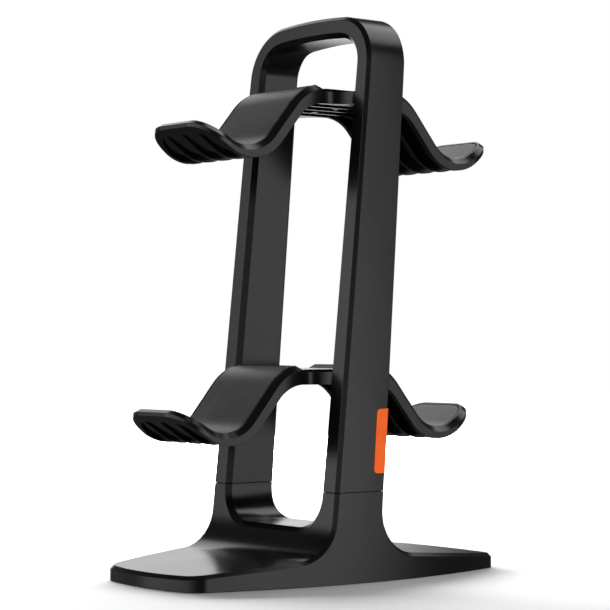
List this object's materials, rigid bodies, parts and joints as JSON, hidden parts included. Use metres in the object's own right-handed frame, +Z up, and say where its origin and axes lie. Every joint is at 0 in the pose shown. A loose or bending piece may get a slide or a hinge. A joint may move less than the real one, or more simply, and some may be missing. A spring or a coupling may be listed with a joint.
{
  "type": "controller stand",
  "caption": "Free-standing black game controller stand with a carry-handle arch, padded double-hook cradles on tiers, a flared base and an orange side tag",
  "frame": {"origin": "On the floor, under the middle of the stand's overall box", "axes": "+Z up, +X to the leg with the tag, -Y to the front, away from which the legs lean"},
  "size_m": [0.109, 0.2138, 0.2908],
  "materials": {
    "satin_black": "satin, fine grain",
    "pad_silicone": "matt",
    "tag_orange": "matt",
    "foot_rubber": "matt",
    "dark_steel": "dark oxide"
  },
  "bodies": {
    "root": {"base": "satin_black", "upright": "satin_black", "lower_cradle": "satin_black", "upper_cradle": "satin_black", "lower_front_pad": "pad_silicone", "lower_rear_pad": "pad_silicone", "upper_front_pad": "pad_silicone", "upper_rear_pad": "pad_silicone", "side_tag": "tag_orange", "leg_screws": "dark_steel", "foot_front_left": "foot_rubber", "foot_front_right": "foot_rubber", "foot_rear_left": "foot_rubber", "foot_rear_right": "foot_rubber"}
  },
  "joints": []
}
